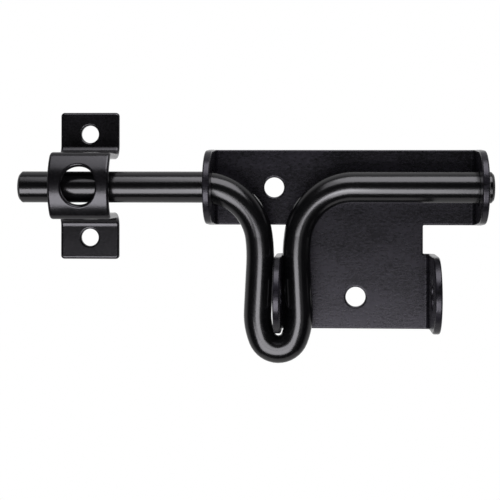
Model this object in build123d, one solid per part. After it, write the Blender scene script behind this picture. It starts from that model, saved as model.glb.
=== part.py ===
from build123d import *
from math import cos, radians, sin
import os

# A gate latch, in millimetres: a folded base plate that guides a round sliding bolt with a
# U-shaped handle, and a keeper strap for the post.
# X runs along the bolt, Z is up, and the gate's face is the plane Y = 0 with the latch in front
# of it, toward -Y. The origin is on that face, behind the bolt's axis, midway between the rod ears.

# Bolt bar
bar_diameter = 12.7
handle_diameter = 11.2  # the bar is drawn thinner where it is bent to the handle
axis_height = 14.5      # from the gate's face to the bolt's axis
nose_reach = 131.85     # from the origin to the nose's tip
stub_reach = 59.4       # from the origin to the stub's tip
end_bevel = 1.0
bevel_round = 0.4

# Handle, from its loop up: the loop, its shoulders, the straight legs, the necks and the bends
handle_drop = 70.9      # from the bolt's axis to the loop's outer bottom
loop_radius = 7.0       # of the centreline, as all these radii
shoulder_radius = 25.8
shoulder_turn = 22.0    # degrees that a shoulder takes of the loop's half turn
leg_lean = 2.8          # degrees that the legs lean together toward the necks
neck_radius = 61.0
neck_turn = 7.5         # degrees that a neck turns on past upright
right_bend_radius = 22.5
left_bend_entry = 3.9   # how far the left bend starts inside the left rod ear's inner face
quarter_turn = 90.0

# Base plate
plate_sheet = 2.8
plate_inner_bend = 1.5
rod_span = 106.8        # between the two rod ears' inner faces
strip_height = 31.0
panel_middle = 4.55     # the lower panel's middle, right of the origin
padlock_span = 59.9     # between the two padlock ears' inner faces
padlock_ear_width = 31.0
ear_foot = 1.0          # the straight stretch of an ear's sides, above its bend
ear_side_round = 8.0    # where that stretch turns into the taper
panel_drop = 58.3       # from the bolt's axis to the lower panel's bottom edge
neck_setback = 0.75     # how far the panel's neck stands inside the padlock ears' bend lines
inner_corner = 0.5      # of the blank's inner corners
bar_clearance = 0.5     # radial, around the bar in its ears, and more than the left bend needs there
rod_ear_radius = 14.9   # of the rod ears' round ends
padlock_ear_radius = 15.3
padlock_hole = 12.0
padlock_hole_height = 20.5
plate_hole = 8.2
upper_hole_offset = -29.2
lower_hole_drop = 45.2
plate_edge_round = 0.65 # of its cut edges, under the coat

# Keeper
keeper_sheet = 2.5
foot_inner_bend = 3.5     # between a flange and its leg
shoulder_inner_bend = 1.6 # between a leg and the crown
keeper_width = 24.5
nose_overhang = 13.45   # how far the bolt's nose stands out of the keeper
keeper_lift = 0.5       # the keeper stands this much higher than the bolt's axis
keeper_height = 61.0
leg_span = 27.0         # over the outsides of the two legs
shoulder_height = 21.0  # from the gate's face to where the crown starts
crown_height = 26.0     # from the gate's face to the crown's top
crown_hole_width = 14.0
crown_hole_height = 16.6
keeper_hole = 7.2
keeper_hole_spacing = 43.0
keeper_corner = 1.5
keeper_edge_round = 1.1   # of the strap's cut edges, under the coat

# Both sheet pieces
hole_edge_round = 0.8     # of the edges of the holes in their flat sides and in the crown

bar_radius = bar_diameter / 2
handle_radius = handle_diameter / 2
keeper_middle = -nose_reach + nose_overhang + keeper_width / 2
FORWARD = (0, -1, 0)
smooth_limit = 20   # degrees
fullest_round = 0.45  # of a sheet's thickness


def upright(x, y, z):
    """A plane whose first axis is X and second axis is Z, seen from the front."""
    return Plane(origin=(x, y, z), x_dir=(1, 0, 0), z_dir=FORWARD)


def front_hole(x, z, diameter, depth):
    """A drill through everything up to a depth in front of the gate's face."""
    return extrude(upright(x, 1, z) * Circle(diameter / 2), depth + 1)


def is_sharp(edge, faces):
    """Whether the two faces that meet at an edge turn by more than a smooth bend does."""
    beside = [face for face in faces if any(edge.is_same(other) for other in face.edges())]
    if len(beside) != 2:
        return False
    middle = edge @ 0.5
    return beside[0].normal_at(middle).get_angle(beside[1].normal_at(middle)) > smooth_limit


def round_edges(piece, radius, sheet):
    """Take the sharpness off every cut edge of a sheet piece."""
    faces = piece.faces()
    edges = [edge for edge in piece.edges() if is_sharp(edge, faces)]
    return fillet(edges, min(radius, fullest_round * sheet))


# Base plate
def ear_outline(width, round_height, end_radius, hole_diameter):
    """An ear seen along X: as wide as its foot at the bend, tapering to a round end with a hole."""
    foot = plate_inner_bend + plate_sheet
    end = Pos(0, round_height) * Circle(end_radius)
    base = Pos(0, foot + ear_foot / 2) * Rectangle(width, ear_foot)
    hole = Pos(0, round_height) * Circle(hole_diameter / 2)
    above = Pos(0, foot + width) * Rectangle(2 * width, 2 * width)
    blade = make_hull([*base.edges(), *end.edges()]) & above
    sides = [v for v in blade.vertices() if abs(v.Y - foot - ear_foot) < 0.01]
    return fillet(sides, ear_side_round) - hole


def ear(inner_face, outward, middle, width, round_height, end_radius, hole_diameter):
    """One ear with its bend, on the right for outward = 1 and on the left for outward = -1."""
    side = Plane(origin=(inner_face, 0, middle), x_dir=(0, 0, 1), z_dir=(1, 0, 0))
    outline = ear_outline(width, round_height, end_radius, hole_diameter)
    blade = extrude(side * outline, plate_sheet * outward)
    outer_bend = plate_inner_bend + plate_sheet
    start = inner_face - outward * plate_inner_bend
    centre = Plane(origin=(start, -outer_bend, middle - width / 2), x_dir=(1, 0, 0), z_dir=(0, 0, 1))
    quarter = Pos(outward * outer_bend / 2, outer_bend / 2) * Rectangle(outer_bend, outer_bend)
    ring = (Circle(outer_bend) - Circle(plate_inner_bend)) & quarter
    return blade + extrude(centre * ring, width)


def make_base_plate():
    strip_end = rod_span / 2 - plate_inner_bend
    neck_half = padlock_span / 2 - plate_inner_bend - neck_setback
    feet_half = padlock_span / 2 - plate_inner_bend
    blank = Rectangle(2 * strip_end, strip_height)
    blank += Pos(panel_middle, -panel_drop / 2) * Rectangle(2 * neck_half, panel_drop)
    ear_middle = -panel_drop + padlock_ear_width / 2
    blank += Pos(panel_middle, ear_middle) * Rectangle(2 * feet_half, padlock_ear_width)
    inner_corners = [v for v in blank.vertices() if abs(abs(v.X - panel_middle) - neck_half) < 0.01]
    plate = extrude(upright(0, 0, 0) * fillet(inner_corners, inner_corner), plate_sheet)
    rod_hole = bar_diameter + 2 * bar_clearance
    for outward in (-1, 1):
        rod_face = outward * rod_span / 2
        padlock_face = panel_middle + outward * padlock_span / 2
        plate += ear(rod_face, outward, 0, strip_height, axis_height, rod_ear_radius, rod_hole)
        plate += ear(padlock_face, outward, ear_middle, padlock_ear_width, padlock_hole_height,
                     padlock_ear_radius, padlock_hole)
    plate = round_edges(plate, plate_edge_round, plate_sheet)
    plate -= front_hole(upper_hole_offset, 0, plate_hole, plate_sheet + 1)
    plate -= front_hole(panel_middle, -lower_hole_drop, plate_hole, plate_sheet + 1)
    return round_edges(plate, hole_edge_round, plate_sheet)


# Bolt with its handle
def bar_section(route, where, radius):
    """The bar's round section at the start (0) or the end (1) of a stretch of its route."""
    return Plane(origin=route @ where, x_dir=(0, 1, 0), z_dir=route % where) * Circle(radius)


def bent_bar(route, start_radius, end_radius):
    """A stretch of bar along its route, which may grow thinner or thicker on the way."""
    ends = [bar_section(route, 0, start_radius), bar_section(route, 1, end_radius)]
    return sweep(ends, path=route, multisection=True)


def straight_run(start, tip):
    """A straight end of the bolt, from where its bend ends to its bevelled tip."""
    away = 1 if tip > start else -1
    plane = Plane(origin=(start, -axis_height, 0), x_dir=(0, 1, 0), z_dir=(away, 0, 0))
    run = extrude(plane * Circle(bar_radius), abs(tip - start))
    end = run.faces().sort_by(Axis.X)[-1 if away > 0 else 0]
    run = chamfer(end.edges(), end_bevel)
    rims = [edge for edge in run.edges() if is_sharp(edge, run.faces())]
    rims = [rim for rim in rims if abs(rim.center().X - start) > bar_radius]
    return fillet(rims, bevel_round)


def leg_sizes(bend_radius):
    """The straight leg's length, and how far the bend's end lies beside the handle's middle."""
    turn, lean, past = radians(shoulder_turn), radians(leg_lean), radians(neck_turn)
    loop_height = handle_drop - handle_radius
    rise = loop_radius * (1 - sin(turn)) + shoulder_radius * (sin(turn) + sin(lean))
    rise += neck_radius * (sin(lean) + sin(past)) + bend_radius * (1 - sin(past))
    length = (loop_height - rise) / cos(lean)
    reach = loop_radius * cos(turn) + shoulder_radius * (cos(lean) - cos(turn))
    reach += neck_radius * (cos(lean) - cos(past)) + bend_radius * cos(past)
    return length, reach - length * sin(lean)


def bend_radius_for(reach):
    """The bend's radius that brings its end that far beside the middle, as the reach grows evenly."""
    start, step = leg_sizes(0)[1], leg_sizes(1)[1]
    return (reach - start) / (step - start)


def next_arc(before, radius, turn):
    """The arc that goes on smoothly from the one before, turning left for a positive angle."""
    return JernArc(start=before @ 1, tangent=before % 1, radius=radius, arc_size=turn)


def next_line(before, length):
    """The straight stretch that goes on from the one before."""
    return Line(before @ 1, before @ 1 + (before % 1) * length)


def make_bolt():
    middle = panel_middle - padlock_span / 2 - plate_sheet / 2
    left_reach = rod_span / 2 + left_bend_entry + middle
    left_bend_radius = bend_radius_for(left_reach)
    left_length = leg_sizes(left_bend_radius)[0]
    right_length, right_reach = leg_sizes(right_bend_radius)
    start = (middle - left_reach, 0)
    bend_turn = neck_turn - quarter_turn
    left_bend = JernArc(start=start, tangent=(1, 0), radius=left_bend_radius, arc_size=bend_turn)
    left_neck = next_arc(left_bend, neck_radius, -neck_turn - leg_lean)
    left_leg = next_line(left_neck, left_length)
    left_shoulder = next_arc(left_leg, shoulder_radius, leg_lean + shoulder_turn)
    loop = next_arc(left_shoulder, loop_radius, 2 * (quarter_turn - shoulder_turn))
    right_shoulder = next_arc(loop, shoulder_radius, leg_lean + shoulder_turn)
    right_leg = next_line(right_shoulder, right_length)
    right_neck = next_arc(right_leg, neck_radius, -neck_turn - leg_lean)
    right_bend = next_arc(right_neck, right_bend_radius, bend_turn)
    stage = upright(0, -axis_height, 0)
    bolt = straight_run(start[0], -nose_reach) + straight_run(middle + right_reach, stub_reach)
    bolt += bent_bar(stage * left_bend, bar_radius, handle_radius)
    for stretch in (left_neck, left_leg, left_shoulder, loop, right_shoulder, right_leg, right_neck):
        bolt += bent_bar(stage * stretch, handle_radius, handle_radius)
    bolt += bent_bar(stage * right_bend, handle_radius, bar_radius)
    return bolt


# Keeper
def crown_radius():
    """The outer radius of the crown's arch, from its chord and its rise."""
    rise = crown_height - shoulder_height
    return ((leg_span / 2) ** 2 + rise**2) / (2 * rise)


def arch(half_width, radius, centre_height):
    """The area between the gate's face and an arch, as wide as twice half_width."""
    shoulder = centre_height + (radius**2 - half_width**2) ** 0.5
    left, right = (-half_width, shoulder), (half_width, shoulder)
    sides = Polyline(right, (half_width, 0), (-half_width, 0), left)
    return make_face([sides, ThreePointArc(left, (0, centre_height + radius), right)])


def round_corners(section, across, is_low, radius):
    """Round the section's corners that lie that far across, at the foot or at the shoulder."""
    middle = shoulder_height / 2
    corners = [v for v in section.vertices() if abs(abs(v.X) - across) < 0.01 and (v.Y < middle) == is_low]
    return fillet(corners, radius)


def keeper_section():
    """The folded strap's section: across is along Z, and up is the height over the gate's face."""
    radius = crown_radius()
    centre_height = crown_height - radius
    outside = leg_span / 2
    inside = outside - keeper_sheet
    section = Pos(0, keeper_sheet / 2) * Rectangle(keeper_height, keeper_sheet)
    section += arch(outside, radius, centre_height)
    section -= arch(inside, radius - keeper_sheet, centre_height)
    section = round_corners(section, outside, True, foot_inner_bend)
    section = round_corners(section, inside, True, foot_inner_bend + keeper_sheet)
    section = round_corners(section, outside, False, shoulder_inner_bend + keeper_sheet)
    return round_corners(section, inside, False, shoulder_inner_bend)


def crown_hole():
    """The crown's hole, punched before folding, so that its wall points at the arch's centre."""
    centre_height = crown_height - crown_radius()
    edge_height = (crown_radius() ** 2 - (crown_hole_height / 2) ** 2) ** 0.5
    slope = crown_hole_height / 2 / edge_height
    rings = []
    for height in (shoulder_height - 2 * keeper_sheet, crown_height + keeper_sheet):
        half_height = slope * (height - centre_height)
        ring = Ellipse(crown_hole_width / 2, half_height)
        rings.append(upright(keeper_middle, -height, keeper_lift) * ring)
    return loft(rings)


def make_keeper():
    start = keeper_middle - keeper_width / 2
    side = Plane(origin=(start, 0, keeper_lift), x_dir=(0, 0, 1), z_dir=(1, 0, 0))
    keeper = extrude(side * keeper_section(), keeper_width)
    corners = keeper.edges().filter_by(Axis.Y).group_by(Axis.Z)
    keeper = fillet([*corners[0], *corners[-1]], keeper_corner)
    keeper = round_edges(keeper, keeper_edge_round, keeper_sheet)
    for upward in (-1, 1):
        height = keeper_lift + upward * keeper_hole_spacing / 2
        keeper -= front_hole(keeper_middle, height, keeper_hole, keeper_sheet + 1)
    keeper -= crown_hole()
    return round_edges(keeper, hole_edge_round, keeper_sheet)


pieces = {"base_plate": make_base_plate(), "bolt": make_bolt(), "keeper": make_keeper()}
os.makedirs("parts", exist_ok=True)
for name, piece in pieces.items():
    piece.label = name
    export_step(piece, f"parts/{name}.step")
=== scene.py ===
# Gate latch, dressed for its looks, in metres and in the frame of the CAD: X along the bolt, Y into
# the gate, Z up, and the gate's face is the plane Y = 0.
from math import cos, radians, sin

import bpy
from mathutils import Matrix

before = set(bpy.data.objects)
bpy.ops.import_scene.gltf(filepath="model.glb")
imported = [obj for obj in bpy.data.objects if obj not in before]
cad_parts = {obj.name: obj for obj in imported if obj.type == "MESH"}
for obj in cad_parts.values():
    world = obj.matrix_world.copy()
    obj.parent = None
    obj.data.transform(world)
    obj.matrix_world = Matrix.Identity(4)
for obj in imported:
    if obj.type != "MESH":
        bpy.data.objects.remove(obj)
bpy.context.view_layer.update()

# Camera: it stands in front of the latch, as far away as the photograph shows from how much the
# ears' fronts shift against their roots. It is turned a little to the left, so that its frame needs
# only a small shift to be the photograph's.
camera_place = (-0.00425, -0.467, -0.00113)
camera_roll = -0.1           # degrees
camera_pan = 2.2             # degrees to the left
focal_pixels = 1122.8        # its focal length, in pixels of the photograph
axis_pixel = (291.3, 190.1)  # where its axis falls on the photograph, from the top left corner
photo_side = 500             # pixels
sensor_width = 36            # millimetres
nearest_seen = 0.01          # metres

camera_data = bpy.data.cameras.new("camera")
camera_data.sensor_width = sensor_width
camera_data.lens = sensor_width * focal_pixels / photo_side
camera_data.shift_x = (photo_side / 2 - axis_pixel[0]) / photo_side
camera_data.shift_y = (axis_pixel[1] - photo_side / 2) / photo_side
camera_data.clip_start = nearest_seen
camera = bpy.data.objects.new("camera", camera_data)
camera.location = camera_place
camera.rotation_euler = (radians(90), radians(camera_roll), radians(camera_pan))
bpy.context.collection.objects.link(camera)
bpy.context.scene.camera = camera
bpy.context.scene.view_settings.view_transform = "Standard"

# Studio: the latch hangs before a white wall, between pale sides, in a room that is dark toward the
# camera. The camera and a glass see all of it white, and a gloss sees the wall at the same white.
studio_white = "#ffffff"
dark_front = 0.012        # strength of the white toward the camera
pale_sides = 0.5          # and at the sides
sides_ramp = (-0.2, 0.3)  # of the heading's part into the gate, from the dark front to the sides
wall_ramp = (0.75, 0.95)  # and from the sides to the white wall


def linear(colour):
    """An sRGB hex colour as the linear RGBA that shaders take."""
    levels = [int(colour[i:i + 2], 16) / 255 for i in (1, 3, 5)]
    return (*[v / 12.92 if v <= 0.04045 else ((v + 0.055) / 1.055) ** 2.4 for v in levels], 1)


def add_node(tree, kind, settings={}, links={}):
    """A shader node with its settings, and with its inputs set to values or linked to sockets."""
    node = tree.nodes.new(kind)
    for name, value in settings.items():
        setattr(node, name, value)
    for name, value in links.items():
        if isinstance(value, bpy.types.NodeSocket):
            tree.links.new(value, node.inputs[name])
        else:
            node.inputs[name].default_value = value
    return node


world = bpy.data.worlds.new("studio")
bpy.context.scene.world = world
world.use_nodes = True
studio = world.node_tree
studio.nodes.clear()
heading = add_node(studio, "ShaderNodeTexCoord").outputs["Generated"]
inward = add_node(studio, "ShaderNodeSeparateXYZ", {}, {0: heading}).outputs["Y"]
sides = add_node(studio, "ShaderNodeMapRange", {"interpolation_type": "SMOOTHSTEP"}, {
    "Value": inward, "From Min": sides_ramp[0], "From Max": sides_ramp[1],
    "To Min": dark_front, "To Max": pale_sides})
wall = add_node(studio, "ShaderNodeMapRange", {"interpolation_type": "SMOOTHSTEP"}, {
    "Value": inward, "From Min": wall_ramp[0], "From Max": wall_ramp[1]})
ray = add_node(studio, "ShaderNodeLightPath").outputs
mirrored = add_node(studio, "ShaderNodeMath", {"operation": "MULTIPLY"}, {
    0: ray["Is Glossy Ray"], 1: wall.outputs[0]})
seen = add_node(studio, "ShaderNodeMath", {"operation": "MAXIMUM"}, {
    0: ray["Is Camera Ray"], 1: ray["Is Transmission Ray"]})
white_share = add_node(studio, "ShaderNodeMath", {"operation": "MAXIMUM"}, {
    0: seen.outputs[0], 1: mirrored.outputs[0]})
room = add_node(studio, "ShaderNodeBackground", {}, {
    "Color": linear(studio_white), "Strength": sides.outputs[0]})
paper = add_node(studio, "ShaderNodeBackground", {}, {
    "Color": linear(studio_white), "Strength": 1.0})
both = add_node(studio, "ShaderNodeMixShader", {}, {
    0: white_share.outputs[0], 1: room.outputs[0], 2: paper.outputs[0]})
add_node(studio, "ShaderNodeOutputWorld", {}, {"Surface": both.outputs[0]})

# Soft boxes: one high on the right with a wide, fainter one across it, one low on the left, and a
# pale card low in front. A small one close in front of the handle draws the line on its legs, and
# flags keep it off the sheet pieces.
latch_middle = (-0.036, 0, 0)
handle_middle = (-0.028, -0.0145, -0.055)
box_distance = 0.6  # metres
near_distance = 0.15
# Where each stands, in degrees to the right and up, its width and height in metres, and its watts.
upper_aim, upper_size, upper_power = (18, 60), (0.46, 0.44), 1.2
faint_aim, faint_size, faint_power = (9, 60), (0.65, 0.44), 1.6
lower_aim, lower_size, lower_power = (-8, -30), (0.5, 0.32), 2.65
card_aim, card_size, card_power = (8, -14), (0.7, 0.24), 0.15
near_aim, near_size, near_power = (0, 0), (0.08, 0.06), 0.075


def soft_box(name, middle, distance, aim, size, power):
    """A soft box that faces a point, that many degrees right of and above the straight front."""
    lamp = bpy.data.lights.new(name, "AREA")
    lamp.shape = "RECTANGLE"
    lamp.size, lamp.size_y = size
    lamp.energy = power
    box = bpy.data.objects.new(name, lamp)
    aside, up = radians(aim[0]), radians(aim[1])
    away = (sin(aside) * cos(up), -cos(aside) * cos(up), sin(up))
    box.location = [place + distance * part for place, part in zip(middle, away)]
    box.rotation_euler = (radians(90) - up, 0, aside)
    bpy.context.collection.objects.link(box)
    return box


soft_box("upper_box", latch_middle, box_distance, upper_aim, upper_size, upper_power)
soft_box("faint_box", latch_middle, box_distance, faint_aim, faint_size, faint_power)
soft_box("lower_box", latch_middle, box_distance, lower_aim, lower_size, lower_power)
soft_box("low_card", latch_middle, box_distance, card_aim, card_size, card_power)
near_box = soft_box("near_box", handle_middle, near_distance, near_aim, near_size, near_power)
flagged = bpy.data.collections.new("lit_by_near_box")
flagged.objects.link(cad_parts["bolt"])
near_box.light_linking.receiver_collection = flagged

# Floor: a plain table top in matt pale paint, far below the latch, that takes its shadow. The
# camera, a gloss and a glass see it a little bleached, which brings it near the white of the studio.
floor_height = -0.6
floor_size = (0.8, 0.7)
floor_back = 0.58      # how far it runs behind the gate's face
floor_colour = "#eeedeb"
floor_roughness = 0.7
floor_bleach = 0.3     # share of its colour that they see without any light on it

bpy.ops.object.select_all(action="DESELECT")
bpy.ops.mesh.primitive_plane_add(size=1, location=(0, floor_back - floor_size[1] / 2, floor_height))
floor = bpy.context.object
floor.name = "floor"
floor.scale = (*floor_size, 1)
bpy.ops.object.transform_apply(location=True, rotation=False, scale=True)
paint = bpy.data.materials.new("matt_pale_paint")
paint.use_nodes = True
paint.node_tree.nodes.clear()
matt = add_node(paint.node_tree, "ShaderNodeBsdfPrincipled", {}, {
    "Base Color": linear(floor_colour), "Roughness": floor_roughness})
looked_at = add_node(paint.node_tree, "ShaderNodeLightPath").outputs
direct = add_node(paint.node_tree, "ShaderNodeMath", {"operation": "MAXIMUM"}, {
    0: looked_at["Is Camera Ray"], 1: looked_at["Is Transmission Ray"]})
shown = add_node(paint.node_tree, "ShaderNodeMath", {"operation": "MAXIMUM"}, {
    0: direct.outputs[0], 1: looked_at["Is Glossy Ray"]})
bleach = add_node(paint.node_tree, "ShaderNodeMath", {"operation": "MULTIPLY"}, {
    0: shown.outputs[0], 1: floor_bleach})
glow = add_node(paint.node_tree, "ShaderNodeEmission", {}, {
    "Color": linear(floor_colour), "Strength": 1.0})
top = add_node(paint.node_tree, "ShaderNodeMixShader", {}, {
    0: bleach.outputs[0], 1: matt.outputs[0], 2: glow.outputs[0]})
add_node(paint.node_tree, "ShaderNodeOutputMaterial", {}, {"Surface": top.outputs[0]})
floor.data.materials.append(paint)

# Base plate: one steel sheet, punched and folded to four ears, then powder coated satin black.
# The sprayed powder flows to a fine orange peel and dries in patches, some duller and more violet,
# which the rolled sheet's grain draws out along the bolt.
sheet_blacks = ("#080908", "#1c1a21")  # of the clearer and of the duller patches
sheet_tint = "#f4efff"                 # of the gloss
sheet_gloss = (0.22, 0.34)             # roughness of the clearer and of the duller patches
sheet_index = 1.5                      # of refraction, as resin has
sheet_draw = 2                         # how many times longer peel and patches are along the bolt
sheet_relief = 0.00003                 # metres
# The peel and the patches are drawn as coarse as they need to show, with their widths in metres.
peel_width = 0.0009
peel_detail = 3.0
peel_roughness = 0.6
patch_width = 0.01
patch_detail = 2.0
patch_share = 0.4           # of the patches in the mottle, and the rest is the peel's
mottle_ramp = (0.35, 0.65)  # of that blend, from the clearer to the duller patches


def powder_coat(name, blacks, tint, gloss, index, draw, relief):
    """Powder coat in patches between two blacks and two roughnesses, over a fine peel's relief."""
    coat = bpy.data.materials.new(name)
    coat.use_nodes = True
    tree = coat.node_tree
    tree.nodes.clear()
    where = add_node(tree, "ShaderNodeTexCoord").outputs["Object"]
    place = add_node(tree, "ShaderNodeMapping", {}, {"Vector": where, "Scale": (1 / draw, 1, 1)})
    peel = add_node(tree, "ShaderNodeTexNoise", {}, {
        "Vector": place.outputs[0], "Scale": 1 / peel_width, "Detail": peel_detail,
        "Roughness": peel_roughness})
    patch = add_node(tree, "ShaderNodeTexNoise", {}, {
        "Vector": place.outputs[0], "Scale": 1 / patch_width, "Detail": patch_detail})
    blend = add_node(tree, "ShaderNodeMix", {"data_type": "FLOAT"}, {
        0: patch_share, 2: peel.outputs["Fac"], 3: patch.outputs["Fac"]})
    mottle = add_node(tree, "ShaderNodeMapRange", {}, {
        "Value": blend.outputs[0], "From Min": mottle_ramp[0], "From Max": mottle_ramp[1]})
    colour = add_node(tree, "ShaderNodeMix", {"data_type": "RGBA"}, {
        0: mottle.outputs[0], 6: linear(blacks[0]), 7: linear(blacks[1])})
    dullness = add_node(tree, "ShaderNodeMapRange", {}, {
        "Value": mottle.outputs[0], "To Min": gloss[0], "To Max": gloss[1]})
    bump = add_node(tree, "ShaderNodeBump", {}, {
        "Height": peel.outputs["Fac"], "Strength": 1.0, "Distance": relief})
    shader = add_node(tree, "ShaderNodeBsdfPrincipled", {}, {
        "Base Color": colour.outputs[2], "Roughness": dullness.outputs[0], "IOR": index,
        "Specular Tint": linear(tint), "Normal": bump.outputs["Normal"]})
    add_node(tree, "ShaderNodeOutputMaterial", {}, {"Surface": shader.outputs["BSDF"]})
    return coat


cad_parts["base_plate"].material_slots[0].material = powder_coat(
    "satin_coat_on_folded_sheet", sheet_blacks, sheet_tint, sheet_gloss, sheet_index, sheet_draw,
    sheet_relief)

# Bolt: one round steel bar, its ends bevelled and its middle bent to the loop that is its handle.
# On the smooth bar the same coat lies evenly, so the soft boxes show on it as clear lines.
bar_blacks = ("#040405", "#0a0a0b")
bar_tint = "#fbf9ff"
bar_gloss = (0.19, 0.21)
bar_index = 1.6
bar_draw = 1
bar_relief = 0.00001

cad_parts["bolt"].material_slots[0].material = powder_coat(
    "satin_coat_on_round_bar", bar_blacks, bar_tint, bar_gloss, bar_index, bar_draw, bar_relief)

# Keeper: one steel strap, its ends folded to flanges and its middle to an arch over the bolt's nose.
# It was tumbled before the coat, so every edge is well rounded and draws a soft light line.
strap_blacks = ("#030303", "#100f12")
strap_tint = "#f8f5ff"
strap_gloss = (0.2, 0.26)
strap_index = 1.6
strap_draw = 1
strap_relief = 0.000015

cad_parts["keeper"].material_slots[0].material = powder_coat(
    "satin_coat_on_tumbled_strap", strap_blacks, strap_tint, strap_gloss, strap_index, strap_draw,
    strap_relief)
